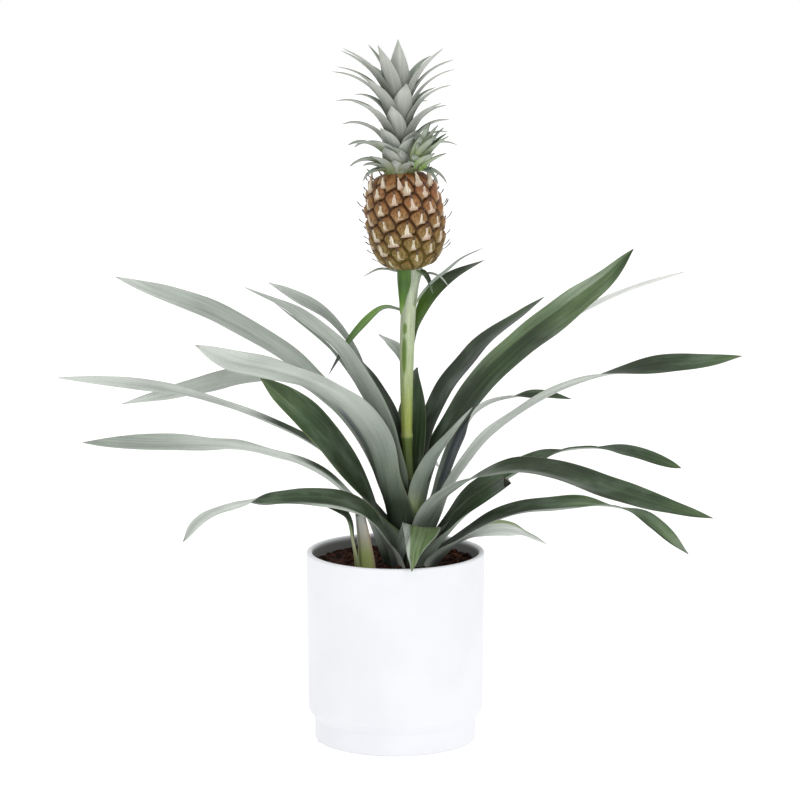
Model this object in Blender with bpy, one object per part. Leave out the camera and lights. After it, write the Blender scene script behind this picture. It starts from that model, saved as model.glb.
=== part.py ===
"""Ornamental pineapple plant in a white ceramic cover pot.

The pot stands on z = 0 with its axis on the world's Z axis. The plant's own axis is a little to the right
of it. A leaf's line is drawn in the upright plane through the plant's axis: an azimuth, and points given as
(distance out, height) in millimetres. Azimuth 0 is +X and 270 is the front, -Y.
"""

import math

import bpy
from mathutils import Vector

MM = 0.001
GAP = 0.0003

# Cover pot
POT_HEIGHT = 0.150
RIM_RADIUS = 0.070
WALL = 0.0045
LIP_ROUND = 0.0018
STEP_TOP = 0.0245
STEP_BOTTOM = 0.0175
BODY_FOOT_RADIUS = 0.0688
FOOT_RADIUS = 0.0635
FOOT_ROUND = 0.0015
POT_FLOOR = 0.007
HOLLOW_TAPER = 0.002

# Growing medium and the stem base set in it
SOIL_TOP = 0.141
STEM_SOCKET_DEPTH = 0.022
STEM_SOCKET_RADIUS = 0.0124
PLANT_X = 0.009
STEM_BASE_PROFILE = ((11.0, 0.0), (12.0, 10.0), (12.0, 22.0), (9.3, 45.0), (6.4, 72.0), (4.8, 88.0))

# Fruit stalk: (x, height, radius) in millimetres from the stem base to the fruit
STALK_PATH = (
    (10.0, 207.6, 4.0),
    (8.9, 232.0, 4.0),
    (8.7, 242.0, 4.7),
    (8.6, 248.0, 4.3),
    (8.5, 282.0, 5.0),
    (8.8, 312.0, 5.7),
    (9.8, 340.0, 6.0),
    (11.0, 359.0, 6.8),
    (11.8, 369.0, 8.4),
)

# Fruit
FRUIT_BOTTOM = Vector((0.0120, 0.0, 0.3705))
FRUIT_TOP = Vector((0.0030, 0.0, 0.4495))
FRUIT_PROFILE = (
    (0.00, 8.8),
    (0.03, 14.5),
    (0.09, 21.5),
    (0.18, 26.6),
    (0.30, 29.4),
    (0.45, 30.6),
    (0.62, 30.6),
    (0.76, 29.0),
    (0.87, 26.0),
    (0.95, 21.5),
    (1.00, 15.5),
)
EYE_COUNT = 86
EYE_TURN = math.radians(137.9)
EYE_START = math.radians(70)
EYE_RISE = 0.000925
EYE_HEIGHT = 0.0016
EYE_GROOVE = 0.006
EYE_CIRCLE = 0.030
FRUIT_END_FADE = 0.06

# Crown
CROWN_X = 0.003
CROWN_BASE = 0.4518
CROWN_CORE_PROFILE = ((9.0, 0.0), (8.0, 12.0), (6.0, 30.0), (4.0, 48.0), (2.5, 60.0))

# Leaf thickness in millimetres, at the base and at the tip
BASE_THICKNESS = 1.6
TIP_THICKNESS = 0.8

# Rosette leaves: azimuth, width in millimetres, roll in degrees at base, middle and tip, line to the tip.
# A positive roll lifts the leaf's left edge, as seen from the stem.
ROSETTE = {
    "leaf_01": (357, 23, (0, -28, 45), ((14, 152), (24, 179), (35, 206), (62, 242), (101, 271), (142, 289),
                                        (190, 299), (225, 302), (260, 307))),
    "leaf_02": (13, 17, (0, -45, -45), ((24, 144), (38, 154), (54, 161), (74, 164), (93, 160), (113, 150))),
    "leaf_03": (7, 17, (0, 25, -20), ((12.5, 162), (21, 185), (29, 211), (38, 234), (53, 252), (76, 266),
                                       (105, 271), (130, 268))),
    "leaf_04": (22, 32, (0, 35, 35), ((9.5, 178), (19, 216), (31, 240), (64, 280), (100, 310), (143, 338),
                                      (172, 358), (194, 379))),
    "leaf_05": (32, 12, (0, -45, -45), ((11, 172), (17, 197), (31, 230), (59, 265), (96, 293), (144, 319),
                                        (207, 340), (266, 351))),
    "leaf_06": (48, 20, (0, 5, 5), ((9, 191), (18, 230), (28, 253), (45, 274), (72, 291), (101, 306),
                                    (166, 330))),
    "leaf_07": (78, 22, (0, 0, 0), ((7.6, 197), (12, 231), (22, 260), (41, 285), (64, 298))),
    "leaf_08": (79, 18, (0, 10, 10), ((13.5, 150), (28, 178), (60, 197), (100, 203), (140, 190))),
    "leaf_09": (95, 20, (0, -10, -10), ((11, 164), (24, 193), (60, 216), (105, 221), (150, 204))),
    "leaf_10": (103, 14, (0, 20, 20), ((5.8, 216), (7.5, 250), (16, 290), (45, 305), (99, 307))),
    "leaf_11": (138, 16, (0, 20, 85), ((7.2, 204), (10, 233), (19, 261), (50, 297), (87, 326), (149, 346))),
    "leaf_12": (148, 21, (0, 55, 55), ((12.5, 170), (25, 205), (45, 236), (73, 262), (108, 279), (160, 274),
                                       (213, 258), (275, 241))),
    "leaf_13": (145, 12, (0, 45, 45), ((8.2, 192), (20, 236), (41, 270), (65, 297), (85, 312), (131, 337))),
    "leaf_14": (163, 18, (0, 40, 40), ((14, 152), (20, 168), (47, 204), (72, 225), (109, 242), (172, 263),
                                       (230, 271), (293, 273))),
    "leaf_15": (173, 29, (0, 42, 45), ((9, 185), (19, 208), (36, 244), (62, 274), (97, 305), (148, 334),
                                       (199, 352), (230, 363))),
    "leaf_16": (182, 20, (0, 42, 45), ((17.5, 146), (31, 180), (50, 199), (72, 215), (103, 227), (150, 235),
                                       (205, 236), (253, 238))),
    "leaf_17": (193, 23, (0, 45, 55), ((7.4, 199), (13, 239), (25, 268), (40, 294), (57, 318), (90, 344),
                                       (128, 363))),
    "leaf_18": (205, 32, (0, -55, -60), ((12.3, 154), (19, 171), (36, 200), (53, 225), (73, 250), (99, 275),
                                         (124, 296))),
    "leaf_19": (216, 30, (0, 50, 55), ((12, 167), (16.5, 195), (27.5, 237), (53, 270), (87, 293), (129, 309),
                                       (163, 319), (196, 332))),
    "leaf_20": (230, 19, (0, -70, 30), ((16.5, 145), (24, 162), (46, 186), (74, 200), (115, 209), (160, 213),
                                        (210, 216), (240, 211), (256, 199))),
    "leaf_21": (270, 34, (0, 0, 0), ((12.5, 150), (20, 168), (36, 177), (56, 168), (70, 157), (79, 147))),
    "leaf_22": (298, 19, (0, 0, 0), ((10, 174), (13, 184), (20, 205), (38, 229), (65, 251), (89, 270),
                                     (120, 292))),
    "leaf_23": (313, 24, (-10, 60, 70), ((13.5, 160), (18, 175), (31, 192), (49, 206), (76, 221), (120, 235),
                                         (165, 238), (215, 233), (270, 228), (323, 225))),
    "leaf_24": (321, 18, (0, 42, 55), ((18, 147), (29, 159), (46, 178), (63, 193), (96, 215))),
    "leaf_25": (341, 21, (0, 45, -40), ((15.5, 147), (32, 173), (47, 193), (65, 208), (110, 231), (145, 239),
                                        (184, 237), (221, 229))),
    "leaf_26": (347, 19, (0, 35, 35), ((24, 143.5), (37, 157), (55, 172), (78, 184), (107, 191), (150, 194),
                                       (185, 184), (221, 157))),
}
TORN_LEAF = "leaf_24"
OLD_LEAF = (225, 14, (0, 0, 0), ((43, 141.6), (47, 163), (52, 184)))

# Leaves and bracts of the fruit stalk, in the same form
STALK_LEAVES = {
    "stalk_leaf_1": (176, 8, (0, -50, -60), ((7, 341), (16, 343), (26, 338), (42, 321), (54, 302),
                                             (62, 288))),
    "stalk_leaf_2": (20, 12, (0, 35, 35), ((6.5, 316), (9, 331), (16, 347), (27, 359), (41, 368), (64, 377))),
    "stalk_leaf_3": (328, 5, (0, 0, 0), ((7.3, 346), (14, 356), (24, 366), (36, 375), (50, 386), (69, 395))),
    "stalk_leaf_4": (345, 5, (0, 0, 0), ((10.5, 366), (18, 367), (27, 364), (34, 357))),
    "stalk_leaf_5": (300, 6, (0, 0, 0), ((10.5, 367), (16, 366), (22, 361), (25, 353))),
    "stalk_leaf_6": (196, 5, (0, 0, 0), ((9.5, 368), (15, 370), (24, 370), (36, 365))),
    "stalk_leaf_7": (200, 11, (0, 0, 0), ((8.6, 342), (9.4, 352), (11.5, 362), (14, 368.5))),
}

# Crown leaves: azimuth, base height above the crown's foot, width, line's end (out, height), in millimetres
CROWN = {
    "crown_leaf_01": (200, 1, 11, (37, -9)),
    "crown_leaf_02": (345, 1, 10, (34, -8)),
    "crown_leaf_03": (188, 5, 12, (42, 4)),
    "crown_leaf_04": (30, 6, 12, (52, 22)),
    "crown_leaf_05": (280, 6, 15, (22, 22)),
    "crown_leaf_06": (130, 9, 13, (50, 20)),
    "crown_leaf_07": (228, 12, 15, (34, 30)),
    "crown_leaf_08": (312, 15, 15, (26, 38)),
    "crown_leaf_09": (176, 17, 12, (47, 36)),
    "crown_leaf_10": (80, 18, 13, (46, 30)),
    "crown_leaf_11": (5, 22, 13, (37, 52)),
    "crown_leaf_12": (266, 20, 16, (22, 56)),
    "crown_leaf_13": (202, 31, 14, (46, 58)),
    "crown_leaf_14": (145, 30, 13, (52, 62)),
    "crown_leaf_15": (40, 33, 12, (48, 72)),
    "crown_leaf_16": (290, 36, 15, (22, 74)),
    "crown_leaf_17": (347, 43, 13, (32, 94)),
    "crown_leaf_18": (168, 43, 14, (46, 93)),
    "crown_leaf_19": (105, 50, 15, (24, 100)),
}

# Slip: the plantlet beside the crown's foot
SLIP_FOOT = Vector((0.0180, -0.0185, 0.4535))
SLIP_LEAVES = (
    (200, 60, 15, 7),
    (330, 62, 30, 9),
    (20, 45, 26, 8),
    (260, 70, 26, 7),
    (310, 30, 22, 8),
)

GREEN = (0.055, 0.085, 0.045)
PALE_GREEN = (0.36, 0.42, 0.36)


def clear_scene():
    for obj in list(bpy.data.objects):
        bpy.data.objects.remove(obj, do_unlink=True)


def material(name, colour, roughness):
    made = bpy.data.materials.new(name)
    made.use_nodes = True
    shader = made.node_tree.nodes["Principled BSDF"]
    shader.inputs["Base Color"].default_value = (*colour, 1.0)
    shader.inputs["Roughness"].default_value = roughness
    shader.inputs["Metallic"].default_value = 0.0
    return made


def add_object(name, verts, faces, finish, sharp_angle=40):
    mesh = bpy.data.meshes.new(name)
    mesh.from_pydata(verts, [], faces)
    mesh.shade_smooth()
    mesh.set_sharp_from_angle(angle=math.radians(sharp_angle))
    mesh.materials.append(finish)
    mesh.update()
    obj = bpy.data.objects.new(name, mesh)
    bpy.context.scene.collection.objects.link(obj)
    return obj


def loft(rings, cap_start=True, cap_end=True):
    """Vertices and faces of a closed skin over rings of equally many points."""
    size = len(rings[0])
    verts = [point for ring in rings for point in ring]
    faces = []
    for i in range(len(rings) - 1):
        low, high = i * size, (i + 1) * size
        for j in range(size):
            k = (j + 1) % size
            faces.append((low + j, low + k, high + k, high + j))
    if cap_start:
        faces.append(tuple(reversed(range(size))))
    if cap_end:
        last = (len(rings) - 1) * size
        faces.append(tuple(range(last, last + size)))
    return verts, faces


def circle(centre, radius, segments):
    steps = (2 * math.pi * i / segments for i in range(segments))
    return [centre + Vector((radius * math.cos(a), radius * math.sin(a), 0)) for a in steps]


def turned(name, profile, centre, segments, finish):
    """A solid turned about an upright axis through centre, from (radius, height) pairs."""
    rings = [circle(centre + Vector((0, 0, height)), radius, segments) for radius, height in profile]
    return add_object(name, *loft(rings), finish)


def round_corner(centre, radius, start, end, steps):
    """(radius, height) points of an arc, with angles in degrees from the outward direction."""
    angles = [math.radians(start + (end - start) * i / steps) for i in range(steps + 1)]
    return [(centre[0] + radius * math.cos(a), centre[1] + radius * math.sin(a)) for a in angles]


def catmull_rom(p0, p1, p2, p3, t):
    return 0.5 * (2 * p1 + (p2 - p0) * t + (2 * p0 - 5 * p1 + 4 * p2 - p3) * t * t
                  + (3 * p1 - p0 - 3 * p2 + p3) * t ** 3)


def smooth_line(points, count, per_span=12):
    """count + 1 points, evenly spaced along a smooth curve through the given ones."""
    ends = [2 * points[0] - points[1], *points, 2 * points[-1] - points[-2]]
    fine = []
    for i in range(len(points) - 1):
        fine += [catmull_rom(*ends[i:i + 4], step / per_span) for step in range(per_span)]
    fine.append(points[-1])
    lengths = [0.0]
    for a, b in zip(fine, fine[1:]):
        lengths.append(lengths[-1] + (b - a).length)
    line = []
    at = 0
    for step in range(count + 1):
        wanted = lengths[-1] * step / count
        while at < len(fine) - 2 and lengths[at + 1] < wanted:
            at += 1
        share = (wanted - lengths[at]) / (lengths[at + 1] - lengths[at])
        line.append(fine[at].lerp(fine[at + 1], min(share, 1.0)))
    return line


def ease(t):
    t = min(max(t, 0.0), 1.0)
    return t * t * (3 - 2 * t)


def keyed(values, s, middle=0.45):
    """A value that runs smoothly from the first through the middle to the last of three."""
    if s < middle:
        return values[0] + (values[1] - values[0]) * ease(s / middle)
    return values[1] + (values[2] - values[1]) * ease((s - middle) / (1 - middle))


def blade_width(s, base_share, tip_share, widest, taper):
    """Share of the full width at the share s of a leaf's length."""
    if s < widest:
        return base_share + (1 - base_share) * ease(s / widest)
    return max(tip_share, 1 - ((s - widest) / (1 - widest)) ** taper)


def leaf_section(centre, side, normal, width, thickness, channel):
    """Six points round a leaf: a channel, thickest in its middle and thin at its two edges."""
    half = width / 2
    top = ((1.0, channel * half), (0.4, 0.0), (-0.4, 0.0), (-1.0, channel * half))
    under = ((-0.45, -thickness), (0.45, -thickness))
    return [centre + side * (u * half) + normal * v for u, v in top + under]


def leaf_rings(line, out, side, width, rolls, shape, channel, base_thickness=BASE_THICKNESS):
    """Rings along a leaf. Its line lies in the plane of out and +Z, and side is the plane's normal."""
    rings = []
    last = len(line) - 1
    for i, point in enumerate(line):
        s = i / last
        along = (line[min(i + 1, last)] - line[max(i - 1, 0)]).normalized()
        up = along.cross(side)
        roll = math.radians(keyed(rolls, s))
        across = side * math.cos(roll) + up * math.sin(roll)
        normal = up * math.cos(roll) - side * math.sin(roll)
        thick = (base_thickness + (TIP_THICKNESS - base_thickness) * s) * MM
        rings.append(leaf_section(point, across, normal, width * MM * blade_width(s, *shape), thick, channel))
    return rings


def leaf_line(azimuth, points, centre, count):
    """A leaf's line in the world, with its outward and sideways directions."""
    turn = math.radians(azimuth)
    out = Vector((math.cos(turn), math.sin(turn), 0))
    side = Vector((-math.sin(turn), math.cos(turn), 0))
    flat = [Vector((distance * MM, height * MM)) for distance, height in points]
    return [centre + out * p.x + Vector((0, 0, p.y)) for p in smooth_line(flat, count)], out, side


def add_leaf(name, azimuth, width, rolls, points, finish, centre, count=14, shape=(0.55, 0.05, 0.25, 1.7),
             channel=0.22, base_thickness=BASE_THICKNESS):
    line, out, side = leaf_line(azimuth, points, centre, count)
    rings = leaf_rings(line, out, side, width, rolls, shape, channel, base_thickness)
    return add_object(name, *loft(rings), finish)


def make_pot(finish):
    inner = RIM_RADIUS - WALL
    outer = [(FOOT_RADIUS - FOOT_ROUND, 0.0)]
    outer += round_corner((FOOT_RADIUS - FOOT_ROUND, FOOT_ROUND), FOOT_ROUND, -60, 0, 2)
    outer += [(FOOT_RADIUS, STEP_BOTTOM), (BODY_FOOT_RADIUS, STEP_TOP)]
    lip = round_corner((RIM_RADIUS - LIP_ROUND, POT_HEIGHT - LIP_ROUND), LIP_ROUND, 0, 90, 3)
    lip += round_corner((inner + LIP_ROUND, POT_HEIGHT - LIP_ROUND), LIP_ROUND, 90, 180, 3)
    hollow = [(FOOT_RADIUS - WALL, STEP_TOP - HOLLOW_TAPER), (FOOT_RADIUS - WALL - 0.003, POT_FLOOR)]
    return turned("pot", outer + lip + hollow, Vector(), 64, finish)


def make_soil(finish):
    inner = RIM_RADIUS - WALL - GAP
    foot = FOOT_RADIUS - WALL - GAP - 0.001
    profile = [(foot - 0.004, POT_FLOOR + GAP), (foot, STEP_TOP), (inner - 0.0004, SOIL_TOP - 0.001),
               (inner - 0.003, SOIL_TOP)]
    soil = turned("soil", profile, Vector(), 64, finish)
    shaft = [(STEM_SOCKET_RADIUS, 0.0), (STEM_SOCKET_RADIUS, STEM_SOCKET_DEPTH + 0.01)]
    socket = turned("stem_socket", shaft, Vector((PLANT_X, 0, SOIL_TOP - STEM_SOCKET_DEPTH)), 24, finish)
    socket.hide_render = True
    socket.display_type = "WIRE"
    cut = soil.modifiers.new("stem_socket", "BOOLEAN")
    cut.operation = "DIFFERENCE"
    cut.object = socket


def make_stem_base(finish):
    profile = [(radius * MM, height * MM) for radius, height in STEM_BASE_PROFILE]
    turned("stem_base", profile, Vector((PLANT_X, 0, SOIL_TOP - STEM_SOCKET_DEPTH + GAP)), 24, finish)


def make_stalk(finish):
    points = [Vector((x, height, radius)) * MM for x, height, radius in STALK_PATH]
    line = smooth_line(points, 22)
    rings = [circle(Vector((p.x, 0, p.y)), p.z, 20) for p in line]
    add_object("fruit_stalk", *loft(rings), finish)


def fruit_radius(t):
    """The fruit's plain radius at the share t of its height."""
    for (t0, r0), (t1, r1) in zip(FRUIT_PROFILE, FRUIT_PROFILE[1:]):
        if t <= t1:
            return (r0 + (r1 - r0) * (t - t0) / (t1 - t0)) * MM
    return FRUIT_PROFILE[-1][1] * MM


def eye_bump(angle, height):
    """How far an eye stands out at a place on the fruit: round in its middle, nothing in the grooves."""
    near = []
    for k in range(EYE_COUNT):
        across = (angle - EYE_START - k * EYE_TURN + math.pi) % (2 * math.pi) - math.pi
        near.append(math.hypot(across * EYE_CIRCLE, height - (k + 0.5) * EYE_RISE))
    near.sort()
    return EYE_HEIGHT * ease((near[1] - near[0]) / EYE_GROOVE)


def make_fruit(finish, rows=30, segments=52):
    axis = FRUIT_TOP - FRUIT_BOTTOM
    tilt = Vector((0, 0, 1)).rotation_difference(axis.normalized()).to_matrix()
    rings = []
    for i in range(rows + 1):
        t = (1 - math.cos(math.pi * i / rows)) / 2
        fade = ease(min(t, 1 - t) / FRUIT_END_FADE)
        centre = FRUIT_BOTTOM + axis * t
        ring = []
        for j in range(segments):
            angle = 2 * math.pi * j / segments
            radius = fruit_radius(t) + fade * eye_bump(angle, axis.length * t)
            ring.append(centre + tilt @ Vector((radius * math.cos(angle), radius * math.sin(angle), 0)))
        rings.append(ring)
    add_object("fruit", *loft(rings), finish)


def make_rosette(finish, pale_finish):
    centre = Vector((PLANT_X, 0, 0))
    for name, (azimuth, width, rolls, points) in ROSETTE.items():
        shape = (0.55, 0.05, 0.25, 1.7)
        if name == TORN_LEAF:
            shape = (0.6, 0.7, 0.3, 3.0)
        add_leaf(name, azimuth, width, rolls, points, finish, centre, count=2 * len(points), shape=shape)
    azimuth, width, rolls, points = OLD_LEAF
    add_leaf("old_leaf_base", azimuth, width, rolls, points, pale_finish, centre, count=6,
             shape=(0.9, 0.8, 0.2, 2.0), channel=0.3, base_thickness=3.0)


def make_stalk_leaves(finish):
    centre = Vector((PLANT_X, 0, 0))
    for name, (azimuth, width, rolls, points) in STALK_LEAVES.items():
        add_leaf(name, azimuth, width, rolls, points, finish, centre, count=9, base_thickness=1.2)


def crown_line(azimuth, foot, end):
    """Three points: up from the core, then over in an arch to the leaf's tip."""
    core = max(2.6, 9.3 - 0.115 * foot) + 0.7
    base = CROWN_BASE / MM + foot
    reach, height = end[0], CROWN_BASE / MM + end[1]
    rise = max(height - base, 0)
    middle = (core + 0.42 * (reach - core), base + 0.62 * rise + 5)
    return (core, base), middle, (reach, height)


def make_crown(finish):
    centre = Vector((CROWN_X, 0, 0))
    profile = [(radius * MM, height * MM) for radius, height in CROWN_CORE_PROFILE]
    turned("crown_core", profile, centre + Vector((0, 0, CROWN_BASE)), 16, finish)
    for name, (azimuth, foot, width, end) in CROWN.items():
        points = crown_line(azimuth, foot, end)
        add_leaf(name, azimuth, width, (0, 0, 0), points, finish, centre, count=7,
                 shape=(0.42, 0.1, 0.4, 1.3), channel=0.35, base_thickness=1.2)


def make_slip(finish):
    """The plantlet: a bud with a few short leaves, joined into one solid."""
    bud = [(3.0, -1.5), (4.5, 1.0), (4.2, 6.0), (2.5, 12.0)]
    profile = [(radius * MM, height * MM) for radius, height in bud]
    slip = turned("slip", profile, SLIP_FOOT, 12, finish)
    for i, (azimuth, slope, length, width) in enumerate(SLIP_LEAVES):
        rise = math.radians(slope)
        out = length * math.cos(rise)
        up = length * math.sin(rise)
        points = ((1.5, 1 + i), (0.45 * out + 1.5, 1 + i + 0.6 * up), (out + 1.5, 1 + i + up))
        leaf = add_leaf(f"slip_leaf_{i + 1}", azimuth, width, (0, 0, 0), points, finish, SLIP_FOOT, count=6,
                        shape=(0.8, 0.12, 0.4, 1.5), channel=0.3, base_thickness=1.4)
        leaf.hide_render = True
        leaf.display_type = "WIRE"
        join = slip.modifiers.new(leaf.name, "BOOLEAN")
        join.operation = "UNION"
        join.object = leaf


def main():
    clear_scene()
    leaf_green = material("leaf_green", GREEN, 0.5)
    leaf_pale = material("leaf_pale", PALE_GREEN, 0.6)
    make_pot(material("white_ceramic", (0.86, 0.87, 0.89), 0.45))
    make_soil(material("growing_medium", (0.045, 0.018, 0.012), 0.95))
    make_stem_base(material("stem", (0.10, 0.12, 0.05), 0.7))
    make_stalk(material("fruit_stalk", (0.42, 0.50, 0.28), 0.5))
    make_fruit(material("fruit_rind", (0.28, 0.15, 0.06), 0.55))
    make_rosette(leaf_green, leaf_pale)
    make_stalk_leaves(material("stalk_leaf", (0.12, 0.20, 0.05), 0.5))
    make_crown(leaf_pale)
    make_slip(material("slip_green", (0.18, 0.30, 0.10), 0.5))


main()
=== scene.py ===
"""Looks of the potted pineapple plant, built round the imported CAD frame.

Shapes are worked out in millimetres and written to the meshes in metres. A leaf's line lies in an upright
plane through its axis: an azimuth (0 is +X, 270 is the front, -Y) and (out, height) points from the foot to
the tip. A positive roll lifts the leaf's left edge, as seen from the stem. Rows of numbers may be text:
'0 .6, .25 .88' is the pairs (0, 0.6) and (0.25, 0.88). A share runs from 0 at the foot to 1 at the tip.
"""

import math
import random

import bmesh
import bpy
import numpy as np
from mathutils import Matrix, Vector, noise


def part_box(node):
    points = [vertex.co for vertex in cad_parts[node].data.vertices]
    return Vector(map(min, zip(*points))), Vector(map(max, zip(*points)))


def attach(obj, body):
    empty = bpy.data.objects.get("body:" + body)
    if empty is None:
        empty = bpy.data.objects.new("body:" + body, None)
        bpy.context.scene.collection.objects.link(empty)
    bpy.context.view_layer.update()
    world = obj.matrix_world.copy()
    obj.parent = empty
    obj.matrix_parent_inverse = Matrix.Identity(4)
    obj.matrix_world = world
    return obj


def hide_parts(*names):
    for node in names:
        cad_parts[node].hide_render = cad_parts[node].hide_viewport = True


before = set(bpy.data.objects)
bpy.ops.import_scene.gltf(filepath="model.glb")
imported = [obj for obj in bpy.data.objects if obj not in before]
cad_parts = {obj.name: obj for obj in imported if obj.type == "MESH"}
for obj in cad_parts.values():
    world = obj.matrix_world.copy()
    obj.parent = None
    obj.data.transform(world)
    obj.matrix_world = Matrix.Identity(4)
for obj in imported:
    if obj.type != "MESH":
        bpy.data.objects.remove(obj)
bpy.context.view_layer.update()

MM = 0.001
UP = np.array((0.0, 0.0, 1.0))

# ------------ sizes, the first three from the CAD frame
POT_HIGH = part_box("pot")[1]
RIM_RADIUS = POT_HIGH.x / MM
POT_HEIGHT = POT_HIGH.z / MM
SOIL_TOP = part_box("soil")[1].z / MM
POT_WALL = 4.5
PLANT_X = 9.0
CROWN_X = 3.0
CROWN_BASE = 451.8

# ------------ colours, as sRGB
COLOURS = {
    # Deep and dark at a leaf's foot are partly its darker green base and partly painted shade among the
    # crowded feet.
    "deep": (36, 45, 32),
    "dark": (44, 57, 38),
    "green": (54, 74, 46),
    "moss": (82, 102, 66),
    "lime": (128, 142, 92),
    "sage": (118, 130, 115),
    "haze": (136, 146, 135),
    "grey": (154, 162, 153),
    "pale": (173, 180, 172),
    "silver": (190, 196, 189),
    "frost": (210, 212, 208),
    # The slate and shade tints are painted shade: the purple-grey of shaded leaf sides and feet.
    "slate": (92, 96, 100),
    "shade": (104, 109, 102),
    "straw": (150, 152, 118),
}


def linear(colour):
    """Linear red, green and blue of a named colour, of #RRGGBB, or of three sRGB numbers."""
    if isinstance(colour, str):
        colour = COLOURS.get(colour) or tuple(int(colour[i:i + 2], 16) for i in (1, 3, 5))
    rgb = np.array(colour, float) / 255
    return np.where(rgb <= 0.04045, rgb / 12.92, ((rgb + 0.055) / 1.055) ** 2.4)


def ease(t):
    t = np.clip(t, 0.0, 1.0)
    return t * t * (3 - 2 * t)


def keys(source):
    """Rows of numbers from text, or the rows themselves."""
    if isinstance(source, str):
        return [[float(number) for number in row.split()] for row in source.split(",")]
    return source


def keyed(source, s):
    """Values that run from one (share, value) key to the next and level out at each."""
    pairs = keys(source)
    out = np.full(s.shape, float(pairs[0][1]))
    for (s0, v0), (s1, v1) in zip(pairs, pairs[1:]):
        out = np.where(s >= s0, v0 + (v1 - v0) * ease((s - s0) / (s1 - s0)), out)
    return out


def flowing(source, s):
    """Values on a smooth curve through (share, value) keys."""
    at, value = (np.array(column, float) for column in zip(*keys(source)))
    slope = np.gradient(value, at)
    slope[0] = (value[1] - value[0]) / (at[1] - at[0])
    i = np.clip(np.searchsorted(at, s, side="right") - 1, 0, len(at) - 2)
    width = at[i + 1] - at[i]
    t = (s - at[i]) / width
    return ((2 * t**3 - 3 * t**2 + 1) * value[i] + (t**3 - 2 * t**2 + t) * width * slope[i]
            + (3 * t**2 - 2 * t**3) * value[i + 1] + (t**3 - t**2) * width * slope[i + 1])


def tints(stops, s):
    """Linear colours along a leaf from text such as 'dark 0, green .5, sage 1'."""
    pairs = [stop.split() for stop in stops.split(",")]
    at = [float(share) for _, share in pairs]
    shades = np.array([linear(name) for name, _ in pairs])
    return np.stack([np.interp(s, at, shades[:, i]) for i in range(3)], axis=-1)


# ------------ node materials
class Graph:
    """A material and its node tree. Colours given to it are three sRGB numbers."""

    def __init__(self, name):
        self.material = bpy.data.materials.new(name)
        self.material.use_nodes = True
        self.tree = self.material.node_tree
        self.shader = self.tree.nodes["Principled BSDF"]

    def join(self, node, inputs):
        for key, value in inputs.items():
            if isinstance(value, bpy.types.NodeSocket):
                self.tree.links.new(value, node.inputs[key])
            elif value is not None:
                node.inputs[key].default_value = value

    def put(self, kind, inputs, out=0, **settings):
        node = self.tree.nodes.new("ShaderNode" + kind)
        for key, value in settings.items():
            setattr(node, key, value)
        self.join(node, inputs)
        return node.outputs[out]

    def attribute(self, name, out="Vector"):
        return self.put("Attribute", {}, out, attribute_name=name)

    def spot(self):
        """The place in the piece, in metres."""
        return self.put("TexCoord", {}, "Object")

    def parts(self, vector):
        node = self.tree.nodes.new("ShaderNodeSeparateXYZ")
        self.tree.links.new(vector, node.inputs[0])
        return node.outputs

    def stretch(self, vector, by):
        return self.put("VectorMath", {0: vector, 1: by}, operation="MULTIPLY")

    def noise(self, vector, scale=1.0, detail=3.0, rough=0.55):
        return self.put("TexNoise", {"Vector": vector, "Scale": scale, "Detail": detail,
                                               "Roughness": rough})

    def cells(self, vector, scale=1.0, out="Distance"):
        return self.put("TexVoronoi", {"Vector": vector, "Scale": scale}, out)

    def maths(self, operation, a, b=0.0):
        return self.put("Math", {0: a, 1: b}, operation=operation)

    def weighed(self, a, weight_a, b, weight_b):
        return self.maths("ADD", self.maths("MULTIPLY", a, weight_a), self.maths("MULTIPLY", b, weight_b))

    def span(self, value, low, high, to_low=0.0, to_high=1.0):
        return self.put("MapRange", {"Value": value, "From Min": low, "From Max": high,
                                               "To Min": to_low, "To Max": to_high},
                        interpolation_type="SMOOTHSTEP")

    def vary(self, noise, low, high):
        """A noise spread between two values."""
        return self.span(noise, 0.3, 0.7, low, high)

    def blend(self, factor, a, b, kind="MIX"):
        a, b = ((*linear(side), 1.0) if isinstance(side, tuple) else side for side in (a, b))
        return self.put("Mix", {0: factor, 6: a, 7: b}, 2, data_type="RGBA", blend_type=kind)

    def lit(self, colour, light):
        """The colour times a level of light."""
        grey = self.put("CombineXYZ", {0: light, 1: light, 2: light})
        return self.blend(1.0, colour, grey, "MULTIPLY")

    def bump(self, height, strength, distance):
        return self.put("Bump", {"Height": height, "Strength": strength, "Distance": distance})

    def finish(self, colour, roughness, normal=None, specular=0.3):
        self.join(self.shader, {"Base Color": colour, "Roughness": roughness, "Normal": normal,
                                "Specular IOR Level": specular})
        return self.material


# stretches of the noise over a leaf, as (across, along, unused)
BROAD_VEINS = (0.30, 0.006, 0.0)
FINE_VEINS = (0.95, 0.010, 0.0)
CLOUDS = (0.08, 0.022, 0.0)
SPECKS = (1.6, 0.5, 0.0)
DRY_SPOTS = (0.34, 0.07, 0.0)


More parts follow.
